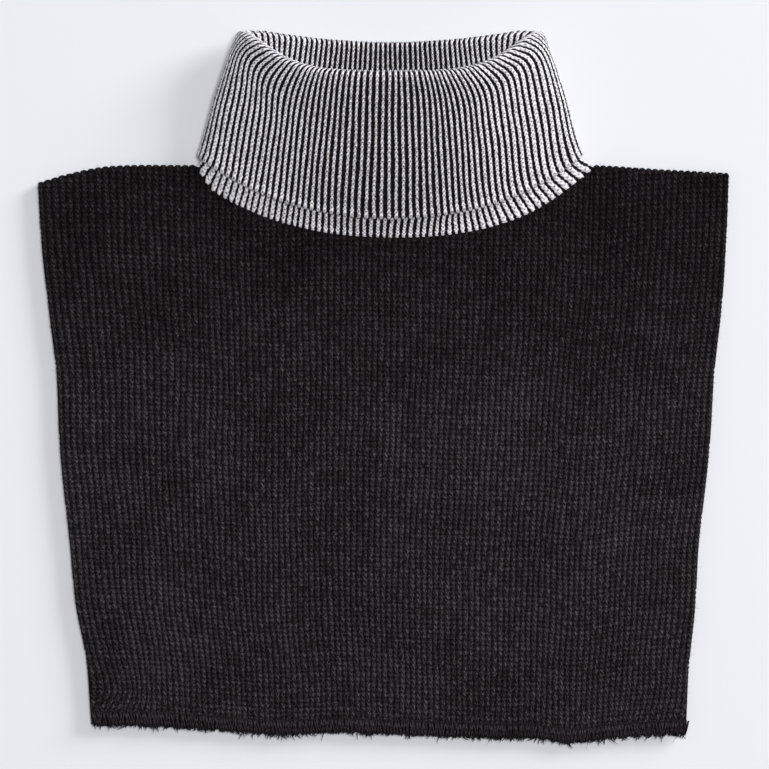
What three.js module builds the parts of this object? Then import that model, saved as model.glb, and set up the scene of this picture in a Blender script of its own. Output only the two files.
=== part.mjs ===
import * as THREE from 'three';

// A turtleneck dickey of rib knit, laid flat with its back on the table and its front up.
// Millimetres, +Z up, +Y from the hem to the collar, +X across from the left edge to the right.
// The origin is on the table, under the middle of the whole thing.

// Knit and thread
const knitWall = 2.8; // rib knit from the top of one rib to the top of the rib behind
const ribRelief = 0.8; // how far a rib stands out from the valley beside it
const threadWall = 0.5; // overlock thread that covers a cut edge
const seamGap = 0.3; // between the overlock thread and the knit that it covers

// Bib: one piece of knit, folded over at the shoulders, with a hole for the neck
const shoulderWidth = 359;
const hemWidth = 309;
const hemShift = 2.9; // the hem's middle lies this far right of the shoulders' middle
const frontLength = 294; // top of the shoulder fold to the front hem
const backShort = 4; // the back hem lies this far above the front hem
const backLength = frontLength - backShort;
const backInset = 1.5; // the back's side edges lie this far inside the front's
const panelGap = 0.8; // air between front and back where both lie flat
const edgeBow = 2.2; // the largest wave of the side edges
const shoulderDrop = 8.8; // how far the left end of the shoulder fold hangs down
const hemSag = 5.2; // the lowest wave of the front hem
const neckReach = 42; // the front comes down to the back over this length below the neckline
const ribFan = 1.6; // how soon below the neckline the ribs run along the side edges
const swellHeight = 2.2; // the highest soft swell of the front

// Neck hole and collar: a tube of rib knit, turned down once over itself
const neckWidth = 207; // outside the collar's foot
const neckGap = 0.8; // between the bib's edge and the collar's foot, where they are linked together
const neckShift = 6; // the collar's foot lies this far right of the shoulders' middle
const frontNeckDrop = 35.5; // neckline below the shoulder fold
const leftNeckSag = 5.7; // the front neckline hangs this much lower beside its left end
const sagStart = 7.2; // that sag grows over this width
const backNeckDrop = 6;
const neckLoft = 3.4; // the front neckline stands this far over the panel beside it
const rimWidth = 161; // outside the turned cuff, just under the rim
const rimShift = 3.6;
const rimRise = 71.2; // shoulder fold to the top of the rim at its two ends
const frontRimDip = 23.5; // the rim's front middle below its ends
const backRimDip = 7.2;
const rimLoft = 11.5; // the front of the rim above its ends
const rimBackLoft = 3.5; // the back of the rim below its ends
const rimEnd = 6; // radius in which the tube turns from front to back at the rim's ends
const rimLift = 1.6; // the turned cuff's back under the rim clears the table by this much
const cuffGap = 1.2; // between the stand and the cuff turned down over it
const cuffStart = 0.14; // share of the collar that the cuff leaves bare above the neckline

// Ribs
const neckRibs = 62; // across the front of the collar, and as many across its back
const leftRibs = 22; // on the shoulder left of the collar
const rightRibs = 21;

// Overlocked hems
const hemHeight = 7;
const hemTaper = 11; // the knit thins over this length above the overlock

// Collar rings from the neckline to the rim. Each column says how far that size has gone
// from its value at the neckline, 0, to its value at the rim, 1. Full is how flat the dip
// of the ring is in the middle of the front.
const collarRings = [
  { along: 0.00, narrow: 0.00, shift: 0, rise: 0.00, dip: 0.00, loft: 0.00, lift: 0.00, round: 0.00, full: 0.5 },
  { along: 0.14, narrow: 0.27, shift: 1, rise: 0.09, dip: 0.20, loft: 0.02, lift: 0.30, round: 0.02, full: 0.1 },
  { along: 0.55, narrow: 0.61, shift: 1, rise: 0.53, dip: 0.58, loft: 0.72, lift: 0.62, round: 0.45, full: 0.5 },
  { along: 1.00, narrow: 1.00, shift: 1, rise: 1.00, dip: 1.00, loft: 1.00, lift: 1.00, round: 1.00, full: 1.0 },
];

// Drop of the shoulder fold, in shares of shoulderDrop, at shares of the width from the left
const shoulderLine = [
  { across: 0.00, drop: 1.00 },
  { across: 0.04, drop: 0.52 },
  { across: 0.10, drop: 0.06 },
  { across: 0.22, drop: 0.00 },
  { across: 0.80, drop: 0.00 },
  { across: 0.91, drop: 0.26 },
  { across: 1.00, drop: 0.45 },
];

// Waves of the side edges, outwards, in shares of edgeBow, at shares of the length
const sideLines = [
  { down: 0.00, left: 0.0, right: 0.0 },
  { down: 0.12, left: 0.5, right: 0.55 },
  { down: 0.24, left: 0.3, right: 0.65 },
  { down: 0.35, left: 0.0, right: 0.1 },
  { down: 0.50, left: 1.0, right: 0.3 },
  { down: 0.67, left: 0.85, right: -0.5 },
  { down: 0.78, left: 0.9, right: -0.2 },
  { down: 0.88, left: -0.3, right: -0.6 },
  { down: 1.00, left: 0.0, right: -0.2 },
];

// Waves of the front hem, in shares of hemSag, at shares of the width from the left
const hemLine = [
  { across: 0.00, sag: -0.70 },
  { across: 0.10, sag: -0.65 },
  { across: 0.20, sag: -0.25 },
  { across: 0.32, sag: 0.20 },
  { across: 0.41, sag: 0.00 },
  { across: 0.58, sag: 0.35 },
  { across: 0.70, sag: 0.58 },
  { across: 0.74, sag: 0.55 },
  { across: 0.81, sag: 1.00 },
  { across: 0.88, sag: 0.55 },
  { across: 1.00, sag: 0.20 },
];

// Soft swells of the front panel: where they are as shares of its width and length, how far
// they spread as a share of its width, and their height as a share of swellHeight
const swells = [
  { across: 0.20, down: 0.05, spread: 0.07, height: 0.60 },
  { across: 0.83, down: 0.06, spread: 0.06, height: 0.90 },
  { across: 0.52, down: 0.40, spread: 0.17, height: 1.00 },
  { across: 0.28, down: 0.55, spread: 0.11, height: 0.45 },
  { across: 0.78, down: 0.62, spread: 0.10, height: 0.55 },
  { across: 0.34, down: 0.90, spread: 0.06, height: 0.55 },
  { across: 0.62, down: 0.88, spread: 0.07, height: 0.50 },
  { across: 0.92, down: 0.30, spread: 0.06, height: 0.40 },
];

// Rows of the bib below its top, after the turn of the fold, as shares of its length
const frontRows = [0.07, 0.22, 0.42, 0.64, 0.84];
const backRows = [0.4];
const foldTurns = [0, 0.5, 1];

// Columns of the bib: how many on each shoulder, how many ribs from each end of the neck hole,
// where the neckline turns sharply, and how many ribs apart between those
const columnsLeft = 4;
const columnsRight = 4;
const ribsNearEnd = [0, 0.5, 1, 1.5, 2, 3, 4.5];
const ribsApart = 3;

const foldRadius = (knitWall + panelGap) / 2;
const foldHeight = knitWall + panelGap / 2;
const layerStep = knitWall + cuffGap;
const hemWall = knitWall - 2 * (threadWall + seamGap);
const lerp = THREE.MathUtils.lerp;
const clamp = THREE.MathUtils.clamp;

// One column of a table at a place between its rows, on a smooth curve through them
function readTable(rows, place, column, at) {
  let i = 0;
  while (i < rows.length - 2 && at > rows[i + 1][place]) i += 1;
  const slope = (j) => {
    const low = rows[Math.max(j - 1, 0)];
    const high = rows[Math.min(j + 1, rows.length - 1)];
    return (high[column] - low[column]) / (high[place] - low[place]);
  };
  const span = rows[i + 1][place] - rows[i][place];
  const t = clamp((at - rows[i][place]) / span, 0, 1);
  const keep = 1 - t;
  return keep * keep * (1 + 2 * t) * rows[i][column] + t * t * (3 - 2 * t) * rows[i + 1][column]
    + span * t * keep * (keep * slope(i) - t * slope(i + 1));
}

// A flat oval with round ends, by its share of the way round: from the left end over the
// front to the right end at a half, and back under it
function flatOval(share, halfWidth, end) {
  const back = share > 0.5;
  const straight = 2 * (halfWidth - end);
  const quarter = (Math.PI / 2) * end;
  const way = (back ? 2 - 2 * share : 2 * share) * (straight + 2 * quarter);
  const turn = Math.min(way, straight + 2 * quarter - way, quarter) / end;
  const side = way < quarter + straight / 2 ? -1 : 1;
  const x = turn * end < quarter ? side * (halfWidth - end + end * Math.cos(turn))
    : way - quarter - straight / 2;
  const z = end * Math.sin(turn);
  return { x, z: back ? -z : z };
}

// The sizes of the collar's ring at a share of the way from the neckline to the rim, for the
// middle of the stand's knit
function ringSizes(along) {
  const share = (column) => readTable(collarRings, 'along', column, along);
  const wrap = layerStep + knitWall / 2;
  const endRadius = lerp(foldRadius, rimEnd, share('round'));
  const backHeight = lerp(knitWall / 2, wrap + rimLift, share('lift'));
  const lifted = Math.max(backHeight, knitWall / 2 + layerStep * Math.min(1, along / cuffStart));
  const backLoft = rimBackLoft * share('loft');
  return {
    middle: lerp(neckShift, rimShift, share('shift')),
    halfWidth: lerp(neckWidth / 2 - knitWall / 2, rimWidth / 2 - wrap, share('narrow')),
    sideY: lerp(-knitWall / 2, rimRise - knitWall - cuffGap / 2, share('rise')),
    frontDip: lerp(frontNeckDrop, frontRimDip, share('dip')),
    backDip: lerp(backNeckDrop, backRimDip, share('dip')),
    full: share('full'),
    end: endRadius,
    sideZ: lifted + backLoft + endRadius,
    frontLoft: lerp(neckLoft, rimLoft, share('loft')),
    backLoft,
    leftSag: leftNeckSag * clamp(1 - along / cuffStart, 0, 1),
  };
}

// A point of the stand, in the middle of its knit
function standPoint(round, along) {
  const ring = ringSizes(along);
  const { x, z } = flatOval(round, ring.halfWidth, ring.end);
  const open = 1 - (x / ring.halfWidth) ** 2;
  const front = (z / ring.end + 1) / 2;
  const shape = lerp(open, Math.sin((Math.PI / 2) * open), ring.full * front);
  const nearLeft = clamp((-2 * x) / ring.halfWidth - 1, 0, 1) ** 1.5;
  const fromEnd = clamp((x + ring.halfWidth) / sagStart, 0, 1);
  const sag = ring.leftSag * nearLeft * fromEnd * Math.max(0, z / ring.end);
  return new THREE.Vector3(
    ring.middle + x,
    ring.sideY - lerp(ring.backDip, ring.frontDip, front) * shape - sag,
    ring.sideZ + z + lerp(-ring.backLoft, ring.frontLoft, front) * shape,
  );
}

// The stand's point with the directions up the collar, out of it and across its ribs
function standFrame(round, along) {
  const stepRound = 0.001;
  const stepAlong = 0.02;
  const point = standPoint(round, along);
  const across = standPoint((round + stepRound) % 1, along)
    .sub(standPoint((round - stepRound + 1) % 1, along)).normalize();
  const up = standPoint(round, Math.min(along + stepAlong, 1))
    .sub(standPoint(round, Math.max(along - stepAlong, 0)));
  const out = across.clone().cross(up).normalize();
  return { point, up: up.normalize(), out, across };
}

// A closed solid from a sheet: its points, the normal and half the wall at each, and its
// faces of four corners, turning left when seen from the normal's side
function sheetSolid(points, normals, halves, faces) {
  const count = points.length;
  const positions = [];
  for (const side of [1, -1]) {
    points.forEach((point, i) => {
      const corner = point.clone().addScaledVector(normals[i], side * halves[i]);
      positions.push(corner.x, corner.y, corner.z);
    });
  }
  const index = [];
  const quad = (a, b, c, d) => index.push(a, b, c, a, c, d);
  const edges = new Set();
  for (const face of faces) {
    const [a, b, c, d] = face;
    quad(a, b, c, d);
    quad(d + count, c + count, b + count, a + count);
    face.forEach((corner, i) => edges.add(`${corner} ${face[(i + 1) % 4]}`));
  }
  for (const edge of edges) {
    const [a, b] = edge.split(' ').map(Number);
    if (!edges.has(`${b} ${a}`)) quad(b, a, a + count, b + count);
  }
  const geometry = new THREE.BufferGeometry();
  geometry.setAttribute('position', new THREE.Float32BufferAttribute(positions, 3));
  geometry.setIndex(index);
  geometry.computeVertexNormals();
  return geometry;
}

// Corner normals of a sheet, from the faces around each corner
function sheetNormals(points, faces) {
  const normals = points.map(() => new THREE.Vector3());
  for (const [a, b, c, d] of faces) {
    const across = points[c].clone().sub(points[a]);
    const normal = across.cross(points[d].clone().sub(points[b]));
    for (const corner of [a, b, c, d]) normals[corner].add(normal);
  }
  return normals.map((normal) => normal.normalize());
}

// Edge of the neck hole, beside the collar's foot: round is the share round the hole
function neckEdge(round) {
  const { point, out, across } = standFrame(round, 0);
  const away = across.cross(out).setZ(0).setLength(neckGap);
  return { point: point.add(away), out };
}

// Columns of the bib, by the share of its ribs from the left edge, with the share of the way
// across the neck for those that end at the neckline
function bibColumns() {
  const allRibs = leftRibs + neckRibs + rightRibs;
  const steps = (from, to, count) => (
    Array.from({ length: count }, (_, i) => lerp(from, to, i / count)));
  const lastEnd = ribsNearEnd.at(-1);
  const middle = neckRibs - 2 * lastEnd;
  const neck = [
    ...ribsNearEnd,
    ...steps(lastEnd, neckRibs - lastEnd, Math.round(middle / ribsApart)).slice(1),
    ...ribsNearEnd.map((ribs) => neckRibs - ribs).reverse(),
  ];
  return [
    ...steps(0, leftRibs, columnsLeft).map((rib) => ({ ribs: rib / allRibs, neck: null })),
    ...neck.map((rib) => ({ ribs: (leftRibs + rib) / allRibs, neck: rib / neckRibs })),
    ...steps(0, rightRibs, columnsRight).reverse()
      .map((rib) => ({ ribs: 1 - rib / allRibs, neck: null })),
  ];
}

const neckEndLeft = neckShift - neckWidth / 2 + knitWall / 2;
const neckEndRight = neckShift + neckWidth / 2 - knitWall / 2;

// Side edge of a panel at a share of its length: side is -1 on the left and 1 on the right
function sideEdge(side, down, inset) {
  const straight = lerp((side * shoulderWidth) / 2, hemShift + (side * hemWidth) / 2, down);
  const wave = readTable(sideLines, 'down', side < 0 ? 'left' : 'right', down);
  return straight + side * (edgeBow * wave - inset);
}

// Top of a column of the bib: the crest of the shoulder fold, or the neckline
function columnTop(column, face) {
  if (column.neck !== null) {
    const half = column.neck / 2;
    return neckEdge(face === 'front' ? half : (1 - half) % 1).point;
  }
  const allRibs = leftRibs + neckRibs + rightRibs;
  const ribs = column.ribs * allRibs;
  const left = sideEdge(-1, 0, 0);
  const right = sideEdge(1, 0, 0);
  const x = ribs < leftRibs ? lerp(left, neckEndLeft, ribs / leftRibs)
    : lerp(right, neckEndRight, (allRibs - ribs) / rightRibs);
  const across = (x - left) / (right - left);
  const drop = shoulderDrop * readTable(shoulderLine, 'across', 'drop', across);
  return new THREE.Vector3(x, -knitWall / 2 - drop, foldHeight);
}

// Height that the soft swells add to the front panel, fading out at its edges
function swellAt(across, down) {
  const edge = Math.sin(Math.PI * clamp(across, 0, 1)) * Math.sin(Math.PI * clamp(down, 0, 1));
  const sum = swells.reduce((height, swell) => {
    const away = Math.hypot(across - swell.across, (down - swell.down) * (frontLength / shoulderWidth));
    return height + swell.height * Math.exp(-((away / swell.spread) ** 2));
  }, 0);
  return swellHeight * sum * Math.min(1, 4 * edge);
}

// A point of a panel: below is the way down from the column's top, down its share
function panelPoint(column, face, below, down) {
  const front = face === 'front';
  const top = columnTop(column, face);
  const inset = front ? 0 : backInset * Math.min(1, 4 * down);
  const left = sideEdge(-1, down, inset);
  const right = sideEdge(1, down, inset);
  const topLeft = sideEdge(-1, 0, 0);
  const topShare = (top.x - topLeft) / (sideEdge(1, 0, 0) - topLeft);
  const across = lerp(topShare, column.ribs, 1 - (1 - down) ** ribFan);
  const flat = front ? foldHeight + foldRadius : foldHeight - foldRadius;
  const over = front ? Math.max(0, top.z - flat) : 0;
  const turned = top.z - flat - over;
  const arc = clamp(1 - below / foldRadius, 0, 1);
  const slope = clamp(1 - below / neckReach, 0, 1);
  const swell = front ? swellAt(across, down) : 0;
  const z = flat + turned * (1 - Math.sqrt(1 - arc * arc)) + over * slope * slope + swell;
  return new THREE.Vector3(lerp(left, right, across), top.y - below, z);
}

// How far below its top a column ends
function columnLength(column, face) {
  const top = columnTop(column, face);
  const sag = face === 'front' ? hemSag * readTable(hemLine, 'across', 'sag', column.ribs) : 0;
  return top.y + (face === 'front' ? frontLength : backLength) + sag;
}

// The hem's rows, above its edge: full wall, thin wall under the overlock, and the edge
const hemRows = [
  { above: hemHeight + hemTaper, half: knitWall / 2 },
  { above: hemHeight + seamGap, half: hemWall / 2 },
  { above: 0, half: hemWall / 2 },
];

// One column of a panel as a list of points with half the wall at each
function panelColumn(column, face) {
  const length = columnLength(column, face);
  const turns = foldTurns.map((turn) => foldRadius * (1 - Math.cos((Math.PI / 2) * turn)));
  const rows = (face === 'front' ? frontRows : backRows).map((share) => share * length);
  return [
    ...[...turns, ...rows].map((below) => ({ below, half: knitWall / 2 })),
    ...hemRows.map(({ above, half }) => ({ below: length - above, half })),
  ].map(({ below, half }) => ({ point: panelPoint(column, face, below, below / length), half }));
}

function bibGeometry(columns) {
  const points = [];
  const halves = [];
  const faces = [];
  const corners = { front: [], back: [] };
  for (const face of ['front', 'back']) {
    columns.forEach((column, c) => {
      corners[face][c] = panelColumn(column, face).map(({ point, half }, row) => {
        const openNeck = column.neck > 0 && column.neck < 1;
        if (face === 'back' && row === 0 && !openNeck) return corners.front[c][0];
        halves.push(half);
        return points.push(point) - 1;
      });
    });
    for (let c = 0; c < columns.length - 1; c += 1) {
      const [near, far] = face === 'front' ? [c, c + 1] : [c + 1, c];
      for (let row = 0; row < corners[face][c].length - 1; row += 1) {
        const here = corners[face][near];
        const next = corners[face][far];
        faces.push([here[row], here[row + 1], next[row + 1], next[row]]);
      }
    }
  }
  const normals = sheetNormals(points, faces);
  columns.forEach((column, c) => {
    if (column.neck === null) return;
    normals[corners.front[c][0]] = neckEdge(column.neck / 2).out;
    normals[corners.back[c][0]] = neckEdge((1 - column.neck / 2) % 1).out;
  });
  return sheetSolid(points, normals, halves, faces);
}

// The collar's knit in one rib column: up the stand, over the rim and down the cuff
function collarPath() {
  return [
    ...[0, cuffStart, 0.5, 1].map((along) => ({ along, turn: 0 })),
    { along: 1, turn: 0.5 },
    ...[1, 0.5, cuffStart].map((along) => ({ along, turn: 1 })),
  ];
}

function collarGeometry() {
  const columns = 4 * neckRibs;
  const path = collarPath();
  const roll = layerStep / 2;
  const points = [];
  const normals = [];
  const halves = [];
  for (let c = 0; c < columns; c += 1) {
    const shift = (c % 2 === 0 ? 1 : -1) * (ribRelief / 2);
    for (const { along, turn } of path) {
      const { point, up, out } = standFrame(c / columns, along);
      const angle = Math.PI * turn;
      const normal = out.clone().multiplyScalar(Math.cos(angle)).addScaledVector(up, -Math.sin(angle));
      points.push(point.addScaledVector(out, roll).addScaledVector(normal, shift - roll));
      normals.push(normal);
      halves.push((knitWall - ribRelief) / 2);
    }
  }
  const faces = [];
  for (let c = 0; c < columns; c += 1) {
    const here = c * path.length;
    const next = ((c + 1) % columns) * path.length;
    for (let row = 0; row < path.length - 1; row += 1) {
      faces.push([here + row, next + row, next + row + 1, here + row + 1]);
    }
  }
  return sheetSolid(points, normals, halves, faces);
}

// An overlocked hem: a trough of thread round the cut edge of a panel
function hemGeometry(columns, face) {
  const inner = hemWall / 2 + seamGap;
  const outer = inner + threadWall;
  const profile = [
    [hemHeight, outer], [-seamGap - threadWall, outer],
    [-seamGap - threadWall, -outer], [hemHeight, -outer],
    [hemHeight, -inner], [-seamGap, -inner], [-seamGap, inner], [hemHeight, inner],
  ];
  const out = new THREE.Vector3(0, 0, face === 'front' ? 1 : -1);
  const positions = [];
  for (const column of columns) {
    const length = columnLength(column, face);
    const [foot, head] = [0, hemHeight + seamGap].map((above) => (
      panelPoint(column, face, length - above, 1 - above / length)));
    const up = head.sub(foot).normalize();
    for (const [along, off] of profile) {
      const corner = foot.clone().addScaledVector(up, along).addScaledVector(out, off);
      positions.push(corner.x, corner.y, corner.z);
    }
  }
  const sides = profile.length;
  const index = [];
  const quad = (a, b, c, d) => {
    if (face === 'front') index.push(a, b, c, a, c, d);
    else index.push(c, b, a, d, c, a);
  };
  for (let c = 0; c < columns.length - 1; c += 1) {
    for (let k = 0; k < sides; k += 1) {
      const next = (k + 1) % sides;
      quad(c * sides + k, c * sides + next, (c + 1) * sides + next, (c + 1) * sides + k);
    }
  }
  const last = (columns.length - 1) * sides;
  for (const [a, b, c, d] of [[0, 7, 6, 1], [1, 6, 5, 2], [2, 5, 4, 3]]) {
    quad(a, b, c, d);
    quad(last + d, last + c, last + b, last + a);
  }
  const geometry = new THREE.BufferGeometry();
  geometry.setAttribute('position', new THREE.Float32BufferAttribute(positions, 3));
  geometry.setIndex(index);
  geometry.computeVertexNormals();
  return geometry;
}

const blackKnit = new THREE.MeshStandardMaterial({ color: 0x232021, roughness: 0.95, metalness: 0 });
const stripedKnit = new THREE.MeshStandardMaterial({ color: 0x77767d, roughness: 0.92, metalness: 0 });
const blackThread = new THREE.MeshStandardMaterial({ color: 0x1b191a, roughness: 0.9, metalness: 0 });

const columns = bibColumns();
const group = new THREE.Group();

function addPiece(name, geometry, material) {
  const mesh = new THREE.Mesh(geometry, material);
  mesh.name = name;
  group.add(mesh);
}

addPiece('bib', bibGeometry(columns), blackKnit);
addPiece('collar', collarGeometry(), stripedKnit);
addPiece('front_hem', hemGeometry(columns, 'front'), blackThread);
addPiece('back_hem', hemGeometry(columns, 'back'), blackThread);

// The origin goes to the table, under the middle of the whole thing
const box = new THREE.Box3().setFromObject(group);
group.position.set(-(box.min.x + box.max.x) / 2, -(box.min.y + box.max.y) / 2, -box.min.z);

export default group;
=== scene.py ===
# %% [markdown]
# # A turtleneck dickey of rib knit, laid flat
#
# A dickey is the collar and chest of a sweater with the rest left out. This one is two pieces
# of 1x1 rib: a black bib, folded over at the shoulders, and a striped collar, turned down once.
# Rib could be a flat sheet with a bump map, a real yarn for every stitch, or a sheet whose mesh
# carries the ribs while the nodes carry the stitches. The third is used here, because the ribs
# show at every outline, and the yarn of single stitches is finer than the picture.

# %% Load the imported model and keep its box
from functools import partial
from math import pi

import bmesh
import bpy
import numpy as np
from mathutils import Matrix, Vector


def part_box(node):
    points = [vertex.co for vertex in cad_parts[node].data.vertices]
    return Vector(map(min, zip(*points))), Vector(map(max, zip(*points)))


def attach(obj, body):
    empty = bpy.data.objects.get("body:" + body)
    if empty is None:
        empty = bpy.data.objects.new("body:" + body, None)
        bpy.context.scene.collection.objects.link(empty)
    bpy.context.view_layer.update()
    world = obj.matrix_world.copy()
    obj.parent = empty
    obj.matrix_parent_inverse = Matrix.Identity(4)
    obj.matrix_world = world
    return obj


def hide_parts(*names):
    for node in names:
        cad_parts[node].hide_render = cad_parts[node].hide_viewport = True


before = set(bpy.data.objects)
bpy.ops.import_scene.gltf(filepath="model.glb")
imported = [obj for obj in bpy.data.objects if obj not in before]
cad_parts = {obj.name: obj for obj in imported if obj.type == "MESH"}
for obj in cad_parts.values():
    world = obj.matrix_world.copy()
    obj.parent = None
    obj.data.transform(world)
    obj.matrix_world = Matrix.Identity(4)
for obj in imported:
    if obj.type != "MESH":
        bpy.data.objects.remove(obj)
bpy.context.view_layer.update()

random = np.random.default_rng(7)

# %% [markdown]
# ## Sizes
#
# Everything is worked out in millimetres with the shoulder fold at y = 0, as one would draw the
# pattern, and moves into the frame at the end. Curves are short tables read with a smooth curve,
# so a wave of an edge is a few numbers and not a hundred points.

# %% Sizes of the knit, the bib and the collar, in millimetres
knit_wall = 2.8  # from the top of one rib to the top of the rib behind
thread_wall, seam_gap = 0.5, 0.3  # the overlock, and the air under it
shoulder_width, hem_width, hem_shift = 359, 309, 2.9
panel_length = {"front": 294, "back": 290}
panel_gap, back_inset = 0.8, 1.5  # the back hides below the front and inside its edges
edge_bow, hem_sag, swell_height = 2.2, 5.2, 2.2  # the largest waves of sides, hem and front
shoulder_drop = 8.8  # how far the left end of the shoulder fold hangs down
neck_reach = 42  # the front comes down from the neckline over this length
rib_fan = 1.6  # how soon below the neckline the ribs run along the sides
neck_width, neck_gap, neck_shift = 207, 0.8, 6
front_neck_drop, back_neck_drop = 35.5, 6
left_neck_sag, sag_start = 5.7, 7.2
rim_width, rim_shift, rim_rise = 161, 3.6, 71.2
front_rim_dip, back_rim_dip = 23.5, 7.2
neck_loft, rim_loft, rim_back_loft = 3.4, 11.5, 3.5  # how high the tube stands open
rim_end, rim_lift = 6, 1.6
corner_drop, corner_reach = 3.2, 10  # the rim's corners are rounded off
cuff_gap, cuff_start = 1.2, 0.14
hem_height, hem_taper = 7, 11
neck_ribs, left_ribs, right_ribs = 62, 22, 21

fold_radius = (knit_wall + panel_gap) / 2
fold_height = knit_wall + panel_gap / 2
layer_step = knit_wall + cuff_gap
wrap = layer_step + knit_wall / 2
hem_wall = knit_wall - 2 * (thread_wall + seam_gap)
bib_ribs = left_ribs + neck_ribs + right_ribs
collar_ribs = 2 * neck_ribs
print("ribs across the bib:", bib_ribs, "and round the collar:", collar_ribs)

# %% Tables of the collar's rings, the edges and the soft swells
# Up the stand, each column says how much of a change from neckline to rim is done at that height.
collar_rings = {
    "at": [0, 0.14, 0.55, 1], "narrow": [0, 0.27, 0.61, 1], "shift": [0, 1, 1, 1],
    "rise": [0, 0.09, 0.53, 1], "dip": [0, 0.2, 0.58, 1], "loft": [0, 0.02, 0.72, 1],
    "lift": [0, 0.3, 0.62, 1], "round": [0, 0.02, 0.45, 1], "full": [0.5, 0.1, 0.5, 1],
}
shoulder_line = {"at": [0, 0.04, 0.1, 0.22, 0.8, 0.91, 1], "drop": [1, 0.52, 0.06, 0, 0, 0.26, 0.45]}
side_lines = {
    "at": [0, 0.12, 0.24, 0.35, 0.5, 0.67, 0.78, 0.88, 1],
    "left": [0, 0.5, 0.3, 0, 1, 0.85, 0.9, -0.3, 0],
    "right": [0, 0.55, 0.65, 0.1, 0.3, -0.5, -0.2, -0.6, -0.2],
}
hem_line = {
    "at": [0, 0.1, 0.2, 0.32, 0.41, 0.58, 0.7, 0.74, 0.81, 0.88, 1],
    "sag": [-0.7, -0.65, -0.25, 0.2, 0, 0.35, 0.58, 0.55, 1, 0.55, 0.2],
}
swells = {
    "across": [0.2, 0.83, 0.52, 0.28, 0.78, 0.34, 0.62, 0.92],
    "down": [0.05, 0.06, 0.4, 0.55, 0.62, 0.9, 0.88, 0.3],
    "spread": [0.07, 0.06, 0.17, 0.11, 0.1, 0.06, 0.07, 0.06],
    "height": [0.6, 0.9, 1, 0.45, 0.55, 0.55, 0.5, 0.4],
}
# Ribs lie a little unevenly round the collar, and they bend out at the corners of the hem.
rib_spread = {"at": [0, 13, 24, 37, 48, 62], "shift": [0, -1.2, -1.7, 0, -0.3, 0]}
hem_curl = {"at": [0, 7, 12, 18, 26, 36, 50], "left": [1.1, 0.8, -0.4, -1.1, -0.8, -0.2, 0],
            "right": [1.1, 0.9, 0.6, 0.25, 0, 0, 0]}


def lerp(start, end, share):
    return start + (end - start) * share


def read_table(table, column, at):
    """One column of a table at any place, on a smooth curve through its rows."""
    places, values = np.array(table["at"], float), np.array(table[column], float)
    row = np.arange(len(places))
    low, high = np.maximum(row - 1, 0), np.minimum(row + 1, len(places) - 1)
    slope = (values[high] - values[low]) / (places[high] - places[low])
    i = np.clip(np.searchsorted(places, at) - 1, 0, len(places) - 2)
    span = places[i + 1] - places[i]
    t = np.clip((at - places[i]) / span, 0, 1)
    keep = 1 - t
    return (keep**2 * (1 + 2 * t) * values[i] + t**2 * (3 - 2 * t) * values[i + 1]
            + span * t * keep * (keep * slope[i] - t * slope[i + 1]))


third_sag = hem_sag * float(read_table(hem_line, "sag", 1 / 3))
print("hem sag a third of the way across:", round(third_sag, 2), "mm")

# %% [markdown]
# ## The collar's surface
#
# The collar is a tube that was laid down flat. Every ring of it is a flat oval, wider at the
# neckline and rounder at the rim. A turned cuff could be a second tube, but then its ribs would
# not run on over the rim. Here one sheet goes up the stand, half a turn over the rim and down
# again, and a place on it is named by its share round the tube, its share of the way up, and
# how far it has turned over.


# %% The middle of the stand's knit
def flat_oval(share, half_width, end):
    """A flat oval with round ends: the front from left to right, then back under it."""
    back = share > 0.5
    straight, quarter = 2 * (half_width - end), pi / 2 * end
    way = np.where(back, 2 - 2 * share, 2 * share) * (straight + 2 * quarter)
    turn = np.minimum(np.minimum(way, straight + 2 * quarter - way), quarter) / end
    side = np.where(way < quarter + straight / 2, -1, 1)
    x = np.where(turn < pi / 2 - 1e-9, side * (half_width - end + end * np.cos(turn)),
                 way - quarter - straight / 2)
    z = end * np.sin(turn)
    return x, np.where(back, -z, z)


def ring_ends(along):
    """Half the width of the ring at this height, and the radius of its round ends."""
    narrow = read_table(collar_rings, "narrow", along)
    rounded = read_table(collar_rings, "round", along)
    half_width = lerp(neck_width / 2 - knit_wall / 2, rim_width / 2 - wrap, narrow)
    return half_width, lerp(fold_radius, rim_end, rounded)


def stand_point(share, along):
    """A point in the middle of the stand's knit, from 0 at the neckline to 1 at the rim."""
    def size(column):
        return read_table(collar_rings, column, along)
    half_width, end = ring_ends(along)
    back_height = lerp(knit_wall / 2, wrap + rim_lift, size("lift"))
    lifted = np.maximum(back_height, knit_wall / 2 + layer_step * np.minimum(1, along / cuff_start))
    back_loft = rim_back_loft * size("loft")
    x, z = flat_oval(share % 1, half_width, end)
    open_share = 1 - (x / half_width) ** 2
    front = (z / end + 1) / 2
    shape = lerp(open_share, np.sin(pi / 2 * open_share), size("full") * front)
    near_left = np.clip(-2 * x / half_width - 1, 0, 1) ** 1.5
    sag = (left_neck_sag * np.clip(1 - along / cuff_start, 0, 1) * near_left
           * np.clip((x + half_width) / sag_start, 0, 1) * np.maximum(0, z / end))
    dip = lerp(lerp(back_neck_drop, back_rim_dip, size("dip")),
               lerp(front_neck_drop, front_rim_dip, size("dip")), front)
    loft = lerp(-back_loft, lerp(neck_loft, rim_loft, size("loft")), front)
    side_y = lerp(-knit_wall / 2, rim_rise - knit_wall - cuff_gap / 2, size("rise"))
    near_corner = np.clip(1 - (half_width - np.abs(x)) / corner_reach, 0, 1) ** 2
    side_y = side_y - corner_drop * near_corner * np.clip(2 * along - 1, 0, 1)
    return np.stack([lerp(neck_shift, rim_shift, size("shift")) + x, side_y - dip * shape - sag,
                     lifted + back_loft + end + z + loft * shape], -1)


def unit(vectors):
    return vectors / np.maximum(np.linalg.norm(vectors, axis=-1, keepdims=True), 1e-12)


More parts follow.
